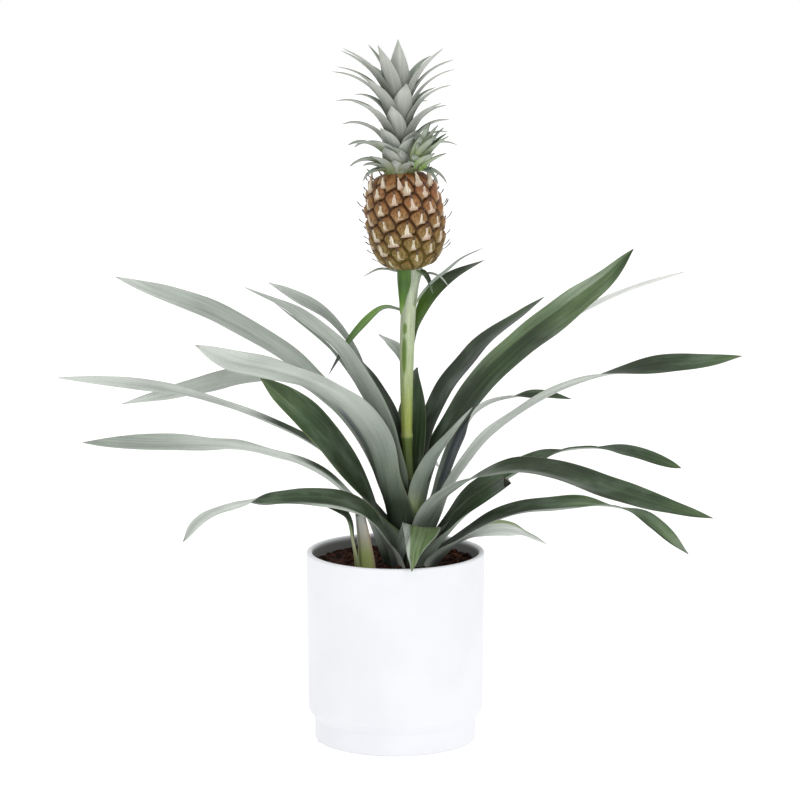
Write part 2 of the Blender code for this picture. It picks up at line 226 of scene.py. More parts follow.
def leaf_finish(name, top_roughness=0.42, under_roughness=0.62, streak=1.0, specular=0.3, spots=0.0):
    """A leaf blade: its tint varied by long veins, soft clouds, a scaly bloom and a paler margin."""
    g = Graph(name)
    place = g.attribute("place")
    under, along, _ = g.parts(g.attribute("tone"))
    edge = g.maths("ABSOLUTE", g.parts(place)[2])
    broad = g.noise(g.stretch(place, BROAD_VEINS), detail=2.0)
    fine = g.noise(g.stretch(place, FINE_VEINS), detail=4.0, rough=0.6)
    cloud = g.noise(g.stretch(place, CLOUDS), detail=3.0, rough=0.5)
    speck = g.noise(g.stretch(place, SPECKS), detail=3.0)

    def by_side(top_value, under_value):
        return g.span(under, 0.0, 1.0, top_value, under_value)

    total = g.maths("MULTIPLY", g.vary(broad, -0.09, 0.09), streak)
    for layer, amount in ((fine, 0.10), (cloud, 0.09), (speck, 0.035)):
        total = g.maths("ADD", total, g.vary(layer, -amount * streak, amount * streak))
    midrib = g.maths("MULTIPLY", g.span(edge, 0.0, 0.17, 1.0, 0.0), by_side(0.16, -0.07))
    total = g.maths("ADD", total, midrib)
    light = g.maths("ADD", g.maths("MULTIPLY", total, by_side(2.1, 1.1)), 1.0)
    colour = g.lit(g.attribute("tint", "Color"), light)
    bloom = g.maths("MULTIPLY", g.span(cloud, 0.45, 0.75), by_side(0.16, 0.10))
    colour = g.blend(bloom, colour, (158, 170, 160))
    margin = g.maths("MULTIPLY", g.span(edge, 0.92, 0.99), by_side(0.30, 0.12))
    colour = g.blend(margin, colour, (146, 150, 118))
    dry_tip = g.maths("MULTIPLY", g.span(along, 0.982, 1.0), 0.5)
    colour = g.blend(dry_tip, colour, (104, 90, 72))
    if spots:
        marks = g.noise(g.stretch(place, DRY_SPOTS), detail=4.0, rough=0.7)
        colour = g.blend(g.span(marks, 0.66, 0.72, 0.0, spots), colour, (92, 80, 58))
    roughness = g.maths("ADD", by_side(top_roughness, under_roughness), g.vary(fine, -0.08, 0.08))
    height = g.weighed(fine, 0.8, speck, 0.2)
    return g.finish(colour, roughness, g.bump(height, 0.35, 0.0005), specular)


# ------------ mesh building
class Shape:
    """Points in millimetres, faces, and three numbers of each attribute at every point."""

    def __init__(self):
        self.points = []
        self.faces = []
        self.values = {}
        self.count = 0

    def add(self, points, faces, **values):
        self.points.append(np.asarray(points, float).reshape(-1, 3))
        self.faces += [tuple(int(i) + self.count for i in face) for face in faces]
        self.count += len(self.points[-1])
        for key, value in values.items():
            self.values.setdefault(key, []).append(np.asarray(value, float).reshape(-1, 3))

    def build(self, name, finish, nodes=(), sharp=60):
        mesh = bpy.data.meshes.new(name)
        points = np.concatenate(self.points) * MM
        mesh.from_pydata(points.tolist(), [], self.faces)
        mesh.shade_smooth()
        mesh.set_sharp_from_angle(angle=math.radians(sharp))
        for key, lists in self.values.items():
            value = np.concatenate(lists)
            if key == "tint":
                value = np.concatenate([value, np.ones((len(value), 1))], axis=1)
            kind, field = ("FLOAT_COLOR", "color") if key == "tint" else ("FLOAT_VECTOR", "vector")
            attribute = mesh.attributes.new(key, kind, "POINT")
            attribute.data.foreach_set(field, value.astype(np.float32).ravel())
        mesh.materials.append(finish)
        mesh.update()
        piece = bpy.data.objects.new(name, mesh)
        bpy.context.scene.collection.objects.link(piece)
        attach(piece, "root")
        if nodes:
            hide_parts(*nodes)
        return piece


def skin(rows, size):
    """Faces of a closed skin over rows of equally many points, with a cap at each end."""
    faces = []
    for i in range(rows - 1):
        low, high = i * size, (i + 1) * size
        for j in range(size):
            k = (j + 1) % size
            faces.append((low + j, low + k, high + k, high + j))
    faces.append(tuple(reversed(range(size))))
    faces.append(tuple(range((rows - 1) * size, rows * size)))
    return faces


def stacked(*parts):
    """Vectors whose parts are spread to one shape."""
    return np.stack(np.broadcast_arrays(*parts), axis=-1)


def round_angles(segments):
    return np.linspace(0, math.tau, segments, endpoint=False)


def ring(radius, z, angle, centre=(0.0, 0.0)):
    return stacked(centre[0] + radius * np.cos(angle), centre[1] + radius * np.sin(angle), float(z))


def turned(shape, profile, segments, centre=(0.0, 0.0), **values):
    """Adds a solid turned about an upright axis, from (radius, height) pairs."""
    angle = round_angles(segments)
    rows = [ring(radius, z, angle, centre) for radius, z in profile]
    shape.add(rows, skin(len(rows), segments), **values)


def arc(centre, radius, start, end, steps):
    angles = np.radians(np.linspace(start, end, steps + 1))
    return [(centre[0] + radius * math.cos(a), centre[1] + radius * math.sin(a)) for a in angles]


def smooth_line(points, count, per_span=24):
    """count points, evenly spaced along a smooth curve through the given ones, and the curve's length."""
    p = np.asarray(points, float)
    p = np.concatenate([[2 * p[0] - p[1]], p, [2 * p[-1] - p[-2]]])
    t = (np.arange(per_span) / per_span)[:, None]
    fine = []
    for a, b, c, d in zip(p, p[1:], p[2:], p[3:]):
        fine.append(0.5 * (2 * b + (c - a) * t + (2 * a - 5 * b + 4 * c - d) * t**2
                           + (3 * b - a - 3 * c + d) * t**3))
    fine = np.concatenate(fine + [p[-2:-1]])
    length = np.concatenate([[0], np.cumsum(np.linalg.norm(np.diff(fine, axis=0), axis=1))])
    wanted = np.linspace(0, length[-1], count)
    return np.stack([np.interp(wanted, length, column) for column in fine.T], axis=1), length[-1]


# ------------ one leaf
def plain_width(s, base=0.55, tip=0.015, widest=0.25, taper=1.7):
    """The width of a leaf without a form of its own, as a share of its full width."""
    rise = base + (1 - base) * ease(s / widest)
    fall = np.maximum(tip, 1 - np.clip((s - widest) / (1 - widest), 0, 1) ** taper)
    return np.where(s < widest, rise, fall)


# a section of a blade: across its upper side from left to right, then back across its underside
ACROSS_TOP = np.linspace(1, -1, 17)
ACROSS_UNDER = np.linspace(-0.98, 0.98, 13)
RING = len(ACROSS_TOP) + len(ACROSS_UNDER)
RING_U = np.concatenate([ACROSS_TOP, ACROSS_UNDER])
RING_UNDER = np.concatenate([np.zeros(len(ACROSS_TOP)), np.ones(len(ACROSS_UNDER))])
# shares of a leaf's width, then of its length, then of its half-width
LEAST_WIDTH = 0.02
CLASP_SHARE = 0.2
TEAR_SHARE = 0.2
FLAT_MIDDLE = 0.12
RIM_FADE = 0.13
# thickness at the foot and at the tip
THIN = (1.2, 0.5)


def blade(shape, seed, azimuth, width, line, top="dark 0, green 1", under="sage 0, grey 1", rolls="0 0",
          centre=(PLANT_X, 0.0), stations=64, form=None, channel=0.22, thick=(1.6, 0.7), sway="0 0", wave=0.6,
          ragged=0.0, clasp=0.0, rims=(), sheath=None):
    """Adds one leaf to the shape: a channelled blade, thin at its edges, along its line.

    Rolls (degrees), sway (mm sideways) and form (widths) are (share, value) keys. Top and under are tints.
    The clasp widens and curls the foot round the stem. Each rim is (across, tints): the blade past that
    place across takes those tints. The sheath is an (out, height) point below the foot: the shares stay 0
    and the tints darken down to it, a painted shade among the crowded leaf feet. A ragged leaf has a torn
    end.
    """
    chance = random.Random(seed)
    turn = math.radians(azimuth)
    out = np.array((math.cos(turn), math.sin(turn), 0.0))
    side = np.array((-math.sin(turn), math.cos(turn), 0.0))
    line = keys(line)
    root = 0.0
    if sheath:
        root = math.dist(sheath, line[0])
        line = [sheath, *line]
    flat, length = smooth_line(line, stations)
    run = np.linspace(0, length, stations)[:, None]
    s = np.clip((run - root) / (length - root), 0, 1)

    centre_line = (*centre, 0.0) + flat[:, :1] * out + flat[:, 1:] * UP + keyed(sway, s) * side
    along = np.gradient(centre_line, axis=0)
    along /= np.linalg.norm(along, axis=1)[:, None]
    level = side - along * (along @ side)[:, None]
    level /= np.linalg.norm(level, axis=1)[:, None]
    up = np.cross(along, level)
    roll = np.radians(keyed(rolls, s))
    across = level * np.cos(roll) + up * np.sin(roll)
    normal = up * np.cos(roll) - level * np.sin(roll)

    share = np.abs(RING_U)
    half = width / 2 * (np.maximum(flowing(form, s), LEAST_WIDTH) if form else plain_width(s))
    hug = clasp * (1 - ease(s / CLASP_SHARE))
    half = half * (1 + 0.75 * hug)
    phases = [chance.uniform(0, 6.28) for _ in range(6)]
    left = 1 + 0.022 * np.sin(run / 17 + phases[0]) + 0.013 * np.sin(run / 6.3 + phases[1])
    right = 1 + 0.022 * np.sin(run / 15 + phases[2]) + 0.013 * np.sin(run / 7.1 + phases[3])
    reach = np.where(RING_U > 0, left, right) * half
    dish = (np.maximum(share - FLAT_MIDDLE, 0) / (1 - FLAT_MIDDLE)) ** 1.35 * ((channel + 0.45 * hug) * half)
    dish = dish - 0.45 * (channel * half)
    thickness = np.minimum(thick[0] + (thick[1] - thick[0]) * s, 0.55 * half + 0.12)
    body = thickness * np.maximum(1 - share**2, 0.0) ** 0.6
    ripple = wave * np.sin(run / 12.5 + phases[4] + 1.2 * np.sin(run / 31 + phases[5]))
    ripple = ripple * share**3 * np.minimum(half / 8, 1)
    lift = dish + ripple - body * RING_UNDER
    points = (centre_line[:, None] + across[:, None] * (RING_U * reach)[..., None]
              + normal[:, None] * lift[..., None])
    if ragged:
        tear = np.array([chance.uniform(-1, 1) for _ in range(RING)])
        tear = (0.6 * tear + 0.6 * np.roll(tear, 1) + 1.6 * share - 0.8 * RING_U) * ragged
        points = points + along[:, None] * (tear * ease((s - 1 + TEAR_SHARE) / TEAR_SHARE))[..., None]

    place = stacked(RING_U * half + 83.0 * chance.random(), run + 900 * chance.random(), RING_U)
    tone = stacked(RING_UNDER, s, chance.random())
    tint = np.where(RING_UNDER[:, None] > 0, tints(under, s), tints(top, s))
    # Painted shade: the tints darken down the sheath, among the crowded leaf feet at the soil.
    if sheath:
        foot_shade = 1 - 0.55 * (1 - ease((run - 0.4 * root) / (0.6 * root + 12)))
        tint = tint * foot_shade[..., None]
    for edge, colour in rims:
        past = (ease((share - abs(edge)) / RIM_FADE) * (RING_U * edge > 0))[:, None]
        tint = tint * (1 - past) + tints(colour, s) * past
    shape.add(points, skin(stations, RING), place=place, tone=tone, tint=tint)


def grow(name, finish, slot, azimuth, width, line, **leaf):
    """One leaf as a piece, which stands for the CAD node of its name where there is one."""
    shape = Shape()
    blade(shape, name, azimuth, width, line, **leaf)
    shape.build(name, finish, [name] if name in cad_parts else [])


# ------------ rosette leaves
leaf_green = leaf_finish("leaf_surface")


def rosette(name, azimuth, width, line, **leaf):
    """A leaf that clasps the stem, with a sheath that runs down into it."""
    sheath = (max(keys(line)[0][0] - 2.5, 5.5), SOIL_TOP - 3)
    grow(name, leaf_green, "leaf", azimuth, width, line,
         **{"clasp": 1.0, "sheath": sheath, "stations": 72, **leaf})


rosette(
    "leaf_01", 357, 23, "14 152, 24 179, 35 206, 62 242, 101 271, 142 289, 190 299, 225 302, 260 307",
    rolls="0 0, .25 -26, .58 -24, .82 48", top="dark 0, green .5, dark .68, dark .8, green .9, moss 1",
    under="dark 0, sage .08, grey .16, pale .3, silver 1",
    form="0 .6, .25 .88, .45 .76, .6 .66, .7 .7, .8 .74, .88 .62, .95 .36, 1 .02",
    rims=((0.82, "green 0, dark .5, dark 1"),))
rosette(
    "leaf_02", 13, 23, "24 144, 38 154, 54 161, 74 164, 93 160, 113 150", rolls="0 0, .45 -45",
    under="shade 0, grey .2, pale .4, silver .6, frost 1",
    form="0 .6, .35 .7, .56 1, .68 .8, .79 .32, .9 .2, 1 .03", rims=((-0.7, "straw 0, lime .5, grey 1"),),
    wave=1.0)
# Leaf_03's top is slate grey from about a quarter to two thirds of its length: painted shade.
rosette(
    "leaf_03", 7, 17, "12.5 162, 22 185, 30 211, 38.5 235, 48.5 254, 61 265, 78 270.5, 105 272.5, 130 268",
    rolls="0 25, .45 25, .62 -28, .72 -24, .84 42",
    top="sage 0, haze .1, slate .25, slate .5, slate .65, dark .8, green 1", under="silver 0, frost 1",
    form="0 .6, .25 1, .45 1, .6 .66, .72 .48, .84 .5, .93 .36, 1 .02",
    rims=((0.5, "grey 0, haze .4, pale .6, dark .8, green 1"),))
# Leaf_04's rim pales to grey-green towards its tip: a painted sheen.
rosette(
    "leaf_04", 22, 32, "9.5 178, 19 216, 31 240, 64 280, 100 310, 143 338, 172 358, 194 379",
    rolls="0 0, .45 35", top="dark 0, dark .35, green .5, dark .62, moss .74, moss .85, green 1",
    form="0 .5, .2 .62, .4 .75, .55 .83, .7 .86, .8 .74, .88 .56, .95 .3, 1 .02",
    rims=((0.35, "dark 0, dark .4, moss .55, #64785A .72, #8A9882 .84, moss 1"),), channel=0.28)
rosette(
    "leaf_05", 32, 14, "11 172, 17 197, 31 230, 59 265, 96 293, 144 319, 207 340, 266 351",
    rolls="0 0, .45 -45", under="sage 0, grey .3, pale .6, frost .8, frost 1",
    form="0 .5, .5 .8, .68 .75, .8 .55, .9 .42, .96 .26, 1 .03")
# Leaf_06's underside and its lower rim are slate greys: painted shade.
rosette(
    "leaf_06", 48, 20, "9 191, 18 230, 28 253, 45 275, 71 293, 100 309.5, 166 333", rolls="0 0, .45 5",
    top="deep 0, deep .3, dark .7, green .85, dark 1", under="shade 0, slate .5, sage 1",
    form="0 .5, .3 .85, .5 .95, .65 .86, .8 .62, .9 .4, 1 .03",
    rims=((-0.3, "dark 0, dark .35, #3E4642 .5, #4E5452 .8, #646A68 1"),))
rosette(
    "leaf_07", 78, 24, "7.6 197, 12 231, 22 258, 34 273, 47 282, 59 286", top="dark 0, green .6, dark 1",
    form="0 .5, .25 .95, .42 1, .58 .88, .72 .62, .86 .32, 1 .04", sway="0 0, .5 0, 1 4")
rosette(
    "leaf_08", 79, 18, "13.5 150, 28 178, 60 197, 100 203, 140 190", rolls="0 0, .45 10",
    under="sage 0, pale 1")
rosette(
    "leaf_09", 95, 20, "11 164, 24 193, 60 216, 105 221, 150 204", rolls="0 0, .45 -10",
    under="sage 0, pale 1")
rosette(
    "leaf_10", 103, 15, "5.8 216, 7.5 250, 16 290, 45 305, 99 307", rolls="0 0, .45 20",
    top="dark 0, green .5, sage .7, grey 1", form="0 .4, .3 .45, .48 .48, .62 .85, .76 1, .88 .7, 1 .03",
    sway="0 0, .15 -2.5, .5 -2.5, .68 0, 1 0")
rosette(
    "leaf_11", 138, 17, "7.2 204, 10 233, 19 261, 50 299, 87 329, 149 348", rolls="0 0, .38 10, .55 70, 1 85",
    top="deep 0, dark .45, green .6, grey 1", under="dark 0, haze .4, grey .6, pale .8, silver 1",
    form="0 .5, .3 .85, .42 .62, .52 .48, .66 .6, .8 .7, .9 .5, 1 .03")
rosette(
    "leaf_12", 148, 21, "12.5 170, 25 205, 45 236, 73 262, 108 279, 160 274, 213 258, 275 241",
    rolls="0 0, .45 55", under="deep 0, dark .1, shade .2, sage .28, grey .45, grey .7, pale .85, silver 1",
    form="0 .55, .3 .9, .6 .85, .72 .84, .82 .66, .9 .44, 1 .02")
rosette(
    "leaf_13", 145, 12, "8.2 192, 20 236, 41 270, 65 297, 85 312, 131 337", rolls="0 0, .45 45",
    under="sage 0, haze .2, grey .4, haze .6, haze .8, grey 1")
rosette(
    "leaf_14", 163, 18, "14 152, 21 170, 47 208, 72 229, 110 246.5, 172 264.5, 230 271.5, 293 273",
    rolls="0 0, .45 40, .8 64", top="deep 0, dark 1",
    under="dark 0, shade .08, pale .2, grey .33, silver .5, pale .7, silver 1",
    form="0 .75, .3 .9, .42 .76, .55 .54, .65 .56, .8 .66, .88 .52, .95 .27, 1 .02",
    rims=((0.15, "dark 0, pale .24, dark .33, dark .42, silver .5, silver 1"),))
rosette(
    "leaf_15", 173, 30, "9 185, 19 208, 36 244, 62 274, 97 305, 148 334, 199 352, 230 363",
    rolls="0 0, .45 42, 1 45",
    under="dark 0, moss .1, shade .2, haze .35, grey .5, grey .75, pale .9, silver 1",
    form="0 .6, .3 .85, .5 .95, .7 1, .8 .88, .88 .7, .95 .36, 1 .02")
rosette(
    "leaf_16", 182, 24, "17.5 146, 31 180, 50 200, 72 216, 103 228.5, 150 236, 205 236, 253 238",
    rolls="0 0, .45 42, 1 45", top="deep 0, dark 1",
    under="dark 0, grey .1, pale .3, silver .5, grey .75, haze 1",
    form="0 .55, .2 .6, .4 .5, .5 .48, .6 .66, .7 .96, .8 .96, .88 .75, .95 .42, 1 .02",
    rims=((0.55, "dark 0, pale .2, dark .27, dark .34, silver .42, haze 1"),), wave=1.5)
rosette(
    "leaf_17", 193, 23, "7.4 199, 13 239, 25 268, 40 294, 57 318, 90 344, 128 363", rolls="0 0, .45 45, 1 55",
    under="dark 0, sage .05, haze .35, grey .5, pale .7, grey 1",
    form="0 .5, .2 .9, .35 .85, .5 .7, .62 .58, .78 .5, .87 .24, .94 .13, 1 .02")
rosette(
    "leaf_18", 205, 32, "12.3 154, 19 171, 36 200, 53 225, 73 250, 99 275, 124 296",
    rolls="0 0, .45 -55, 1 -60", top="deep 0, dark .3, dark .5, green .7, moss 1",
    form="0 .5, .2 .7, .4 .88, .6 .98, .75 .92, .85 .72, .93 .42, 1 .02",
    rims=((0.86, "moss 0, #5C6C34 .4, #6A7A3A 1"),))
rosette(
    "leaf_19", 216, 30, "12 167, 16.5 195, 27.5 237, 53 270, 87 292, 129 307, 163 316.5, 196 332",
    rolls="0 0, .45 50, 1 55", top="deep 0, dark 1",
    under="deep 0, dark .09, sage .2, haze .26, grey .36, pale .5, pale .8, silver 1",
    form="0 .6, .12 .8, .25 .9, .4 .78, .5 .58, .6 .54, .7 .64, .8 .73, .88 .6, .95 .33, 1 .02",
    rims=((-0.55, "deep 0, dark .2, slate .4, pale .5, silver 1"),))
rosette(
    "leaf_20", 230, 19, "16.5 145, 24 162, 46 186, 74 201, 115 211, 160 216.5, 210 218, 240 211, 256 199",
    rolls="0 -40, .3 -70, .6 -75, .76 -190", top="sage 0, dark .14, dark .3, green .6, dark .7, sage 1",
    under="shade 0, pale .5, silver .8, pale 1",
    form="0 .55, .2 .75, .35 .84, .5 .66, .6 .5, .7 .5, .8 .52, .9 .55, .96 .38, 1 .03",
    rims=((0.66, "pale 0, pale .22, grey .45, green .6, silver .8, silver 1"),), wave=1.6)
rosette(
    "leaf_21", 270, 28, "12.5 150, 20 168, 36 177, 56 169, 70 159, 79 150.5", rolls="0 0, .5 -8, 1 0",
    top="sage 0, #5E6E48 .4, #52663E .6, #687A50 1", under="grey 0, pale .5, grey 1",
    form="0 .45, .25 .9, .4 1.05, .5 1, .7 .62, .85 .32, 1 .02", sway="0 0, .42 11, .9 4.5, 1 3.5",
    rims=((-0.5, "haze 0, haze .3, grey .7, haze 1"), (0.9, "haze 0, grey .5, pale 1")), channel=0.1,
    clasp=0.3)
rosette(
    "leaf_22", 298, 18, "10 174, 13 184, 20 205, 38 229, 62 248, 82 264, 105 281",
    under="lime 0, lime .08, sage .2, haze .4, haze .6, grey 1",
    form="0 .5, .15 .8, .35 .85, .55 .68, .75 .4, .9 .2, 1 .02", clasp=0.4)
rosette(
    "leaf_23", 313, 24,
    "13.5 160, 18 175, 31 192, 49 206, 76 221, 120 235, 165 238, 215 233, 270 228, 323 225",
    rolls="0 -10, .18 -4, .4 52, 1 66", top="green 0, shade .25, dark .34, dark .55, green .85, moss 1",
    under="moss 0, haze .06, grey .12, grey .22, pale 1",
    form="0 .6, .1 .75, .22 .62, .4 .6, .55 .64, .7 .72, .8 .62, .88 .42, .95 .24, 1 .02",
    rims=((-0.55, "grey 0, haze .3, shade .5, dark .7, green 1"),), clasp=0.1)
rosette(
    "leaf_24", 321, 18, "18 147, 29 159, 46 178, 63 193, 96 215", rolls="0 0, .45 42, 1 55",
    top="dark 0, dark .5, green .8, shade 1", form="0 .6, .3 .95, .7 .95, .9 .8, 1 .62", channel=0.5,
    thick=(1.6, 0.25), ragged=3.4)
rosette(
    "leaf_25", 341, 21, "15.5 147, 32 173, 47 193, 65 208, 110 232.5, 145 241.5, 184 240, 221 230",
    rolls="0 0, .3 45, .52 42, .64 -20, .7 -18, .82 46",
    top="deep 0, dark .3, green .4, dark .6, dark .8, green .9, moss 1", under="sage 0, silver 1",
    form="0 .7, .2 .85, .4 .8, .55 .56, .66 .36, .76 .42, .85 .5, .93 .44, .98 .22, 1 .04",
    rims=((-0.55, "haze 0, grey .15, pale .3, haze .42, dark .55, green 1"),))
rosette(
    "leaf_26", 347, 19, "24 143.5, 37 157, 55 172, 78 184, 107 191.5, 150 194.5, 187 187, 223 158",
    rolls="0 0, .3 35, .56 35, .7 -16, .84 50",
    top="dark 0, dark .4, green .5, moss .6, green .8, moss .9, sage 1", under="shade 0, pale .5, silver 1",
    form="0 .7, .2 .8, .4 .78, .52 .82, .62 .66, .72 .55, .84 .6, .92 .5, 1 .03",
    rims=((-0.6, "grey 0, pale .4, grey .6, dark .75, green 1"),))


def make_old_leaf():
    """The stump of an old leaf, with its dry green shred."""
    old_leaf = Shape()
    blade(old_leaf, "old_leaf_base", 223, 19, "44 139, 46 160, 51 186", "straw 0, moss .5, grey 1",
          "#93A05A 0, #8F9A62 .35, #9C9A88 .62, #A9A7A0 .8, pale 1", form="0 1, .4 .85, .8 .66, 1 .5",
          channel=0.5, thick=(3.0, 1.6), ragged=2.5,
          rims=((-0.62, "#C0C08A 0, #6A7A44 .3, dark .6, dark 1"),
                (0.86, "#8E8460 0, #94806A .5, #7A7060 1")))
    blade(old_leaf, "old_leaf_shred", 222, 12, "50 139, 56 166, 61 184, 73 196, 95 203",
          "straw 0, moss .3, dark .5, dark 1", "lime 0, straw .3, moss .5, dark 1",
          rolls="0 0, .45 -50, 1 -60", form="0 .6, .3 .6, .55 .85, .75 1, .9 .6, 1 .05", thick=(1.6, 0.6),
          wave=1.4)
    old_leaf.build("old_leaf_base", leaf_finish("old_leaf_surface", spots=0.7),
                   ["old_leaf_base"])


make_old_leaf()

# ------------ fruit stalk and its leaves
# x, height and radius along the stalk, and its colour at some heights
STALK_PATH = keys("10 207.6 4, 8.9 232 4, 8.7 242 4.7, 8.6 248 4.3, 8.5 282 5, 8.8 312 5.7, 9.8 340 6, "
                  "11 359 6.8, 11.8 369 8.4, 12.2 375 8.8")
STALK_TINTS = ("#525E3A 205, #5C6E34 236, #627638 240, #96A060 241.5, #98A450 250, #9CAA62 268, "
               "#A4B280 285, #ACBA94 312, #AEB99C 345, #B2BCA4 369")
RUBBED = (84, 112, 30)
RUBBED_AZIMUTH = math.radians(250)
# each rubbed mark: its half-width in radians, its height and its half-height
RUBBED_MARKS = ((0.42, 306, 18), (0.36, 327, 5.5))
SHADED_AZIMUTH = math.radians(195)


def stalk_surface():
    g = Graph("fruit_stalk_surface")
    place = g.attribute("place")
    fine = g.noise(g.stretch(place, (0.9, 0.05, 0.0)), detail=4.0, rough=0.6)
    speck = g.noise(g.stretch(place, (0.8, 0.5, 0.0)), detail=3.0)
    total = g.maths("ADD", g.vary(fine, 0.82, 1.14), g.vary(speck, -0.06, 0.06))
    colour = g.lit(g.attribute("tint", "Color"), total)
    return g.finish(colour, g.vary(speck, 0.36, 0.56), g.bump(fine, 0.3, 0.0004), 0.35)


def make_stalk(segments=48, steps=130):
    stalk = Shape()
    path, _ = smooth_line(STALK_PATH, steps)
    angle = round_angles(segments)
    ridges = 1 + 0.022 * np.cos(3 * angle + 0.7) + 0.012 * np.cos(7 * angle)
    front = np.abs((angle - RUBBED_AZIMUTH + math.pi) % math.tau - math.pi)
    shaded = 0.26 * ease((np.cos(angle - SHADED_AZIMUTH) - 0.2) / 0.6)
    points, place, tint = [], [], []
    for x, z, radius in path:
        points.append(ring(radius * ridges, z, angle, (x, 0.0)))
        place.append(stacked(angle * 5, z, np.sin(angle)))
        marks = [1 - (front / wide) ** 2 - ((z - middle) / tall) ** 2 for wide, middle, tall in RUBBED_MARKS]
        patch = 0.9 * ease(1.7 * np.maximum(*marks))[:, None]
        plain = tints(STALK_TINTS, z) * (1 - shaded[:, None])
        tint.append(plain * (1 - patch) + linear(RUBBED) * patch)
    stalk.add(points, skin(steps, segments), place=place, tint=tint)
    stalk.build("fruit_stalk", stalk_surface(), ["fruit_stalk"])


make_stalk()

stalk_green = leaf_finish("stalk_leaf_surface", streak=0.8)


def stalk_leaf(name, azimuth, width, line, **leaf):
    grow(name, stalk_green, "stalk_leaf", azimuth, width, line,
         **{"stations": 40, "thick": THIN, "wave": 0.2, **leaf})


stalk_leaf(
    "stalk_leaf_1", 176, 8, "4 341.5, 16 343.5, 26 338, 42 321, 54 302, 62 288", rolls="0 0, .45 -50, 1 -60",
    top="sage 0, #64863C .25, #56763A .5, dark .8, slate 1")
stalk_leaf(
    "stalk_leaf_2", 20, 13, "4.5 312, 8 329, 16 347, 27 359, 41 368, 64 377", rolls="0 0, .45 35",
    top="#5C7A2C 0, #46641E .35, dark .65, dark .8, shade 1", form="0 .15, .2 .7, .4 1, .6 .9, .85 .4, 1 .03")
stalk_leaf(
    "stalk_leaf_3", 328, 7, "5 343, 14 356, 24 366, 36 375, 50 386, 69 395", top="haze 0, grey .4, shade 1",
    under="lime 0, haze .25, grey .6, shade 1", form="0 .4, .3 .6, .5 1, .75 .6, 1 .03")
stalk_leaf(
    "stalk_leaf_4", 345, 5, "9.5 369, 18 371, 27 368, 34 360", top="moss 0, grey .5, pale 1",
    under="grey 0, pale 1")
stalk_leaf(
    "stalk_leaf_5", 326, 8, "8 373, 14 372.5, 20 366, 24 355.5", top="moss 0, dark .5, moss 1",
    under="#5A7434 0, #4A6428 .6, moss 1")
stalk_leaf(
    "stalk_leaf_6", 196, 5, "8 372, 15 374, 24 374, 36 368.5", top="moss 0, haze .5, pale 1",
    under="haze 0, pale 1")
stalk_leaf(
    "stalk_leaf_7", 225, 15, "5.2 338, 6.2 348, 6.6 360, 8 374", top="moss 0, moss 1",
    under="#7C9A4A 0, #4C7024 .3, #3A5A1C .7, #4E6E2C 1", form="0 .1, .35 .5, .7 .95, 1 1",
    sway="0 -1.5, .3 .2, 1 2.2", channel=0.55)


# ------------ stem base
def stem_surface():
    g = Graph("stem_surface")
    rings = g.noise(g.stretch(g.spot(), (160, 160, 300)), detail=4.0)
    colour = g.blend(g.span(rings, 0.35, 0.65), (34, 40, 28), (62, 70, 46))
    return g.finish(colour, g.vary(rings, 0.6, 0.85), g.bump(rings, 0.5, 0.0012), 0.2)


def make_stem(name, profile, steps, segments, foot, x, finish):
    """A short turned stem that leaves grow from."""
    stem = Shape()
    path, _ = smooth_line(keys(profile), steps)
    turned(stem, [(radius, z + foot) for radius, z in path], segments, (x, 0))
    stem.build(name, finish, [name])


stem_finish = stem_surface()
make_stem("stem_base", "11 0, 12 10, 12 22, 9.3 45, 6.4 72, 4.8 88", 60, 40, SOIL_TOP - 21.7, PLANT_X,
          stem_finish)

# ------------ fruit
FRUIT_FOOT = np.array((12.0, 0.0, 373.0))
FRUIT_HEAD = np.array((3.0, 0.0, 449.5))
FRUIT_AXIS = FRUIT_HEAD - FRUIT_FOOT
FRUIT_LENGTH = float(np.linalg.norm(FRUIT_AXIS))
FRUIT_PROFILE = np.array(keys("0 6, .02 12.5, .08 19.8, .18 24.8, .3 27.2, .45 28.3, .62 28.3, .76 26.4, "
                              ".85 23.6, .93 19.2, .98 14, 1 9"))
TILT = np.array(Vector(UP).rotation_difference(Vector(FRUIT_AXIS).normalized()).to_matrix())
# the eyes sit on one spiral: their number, the first one's angle, and each next one's turn and rise
EYES = 86
EYE_START = math.radians(70)
EYE_TURN = math.radians(137.9)
EYE_RISE = 0.925
# the radius at which a turn is measured as a length, and the size of an eye
EYE_CIRCLE = 30.0
EYE_HEIGHT = 2.6
EYE_WIDTH = 8.5
EYE_SWELL = 0.7
SEAM_DEPTH = 0.5
END_FADE = 0.05
# gives each eye a number of its own from 0 to 1, for its tint
GOLDEN_SHARE = 0.6180339


def fruit_radius(t):
    """The plain radius at a share of the height, with the profile's corners rounded off."""
    return sum(np.interp(t + step, *FRUIT_PROFILE.T) for step in (-0.02, 0, 0.02)) / 3


def on_fruit(angle, height, lift=0.0):
    """Points on the fruit's skin at an angle and a height along its axis, raised by lift."""
    t = np.clip(height / FRUIT_LENGTH, 0, 1)
    r = fruit_radius(t) + lift
    flat = stacked(r * np.cos(angle), r * np.sin(angle), 0.0)
    return FRUIT_FOOT + t[..., None] * FRUIT_AXIS + flat @ TILT.T


def pick(values, index):
    return np.take_along_axis(values, index[..., None], axis=-1)[..., 0]


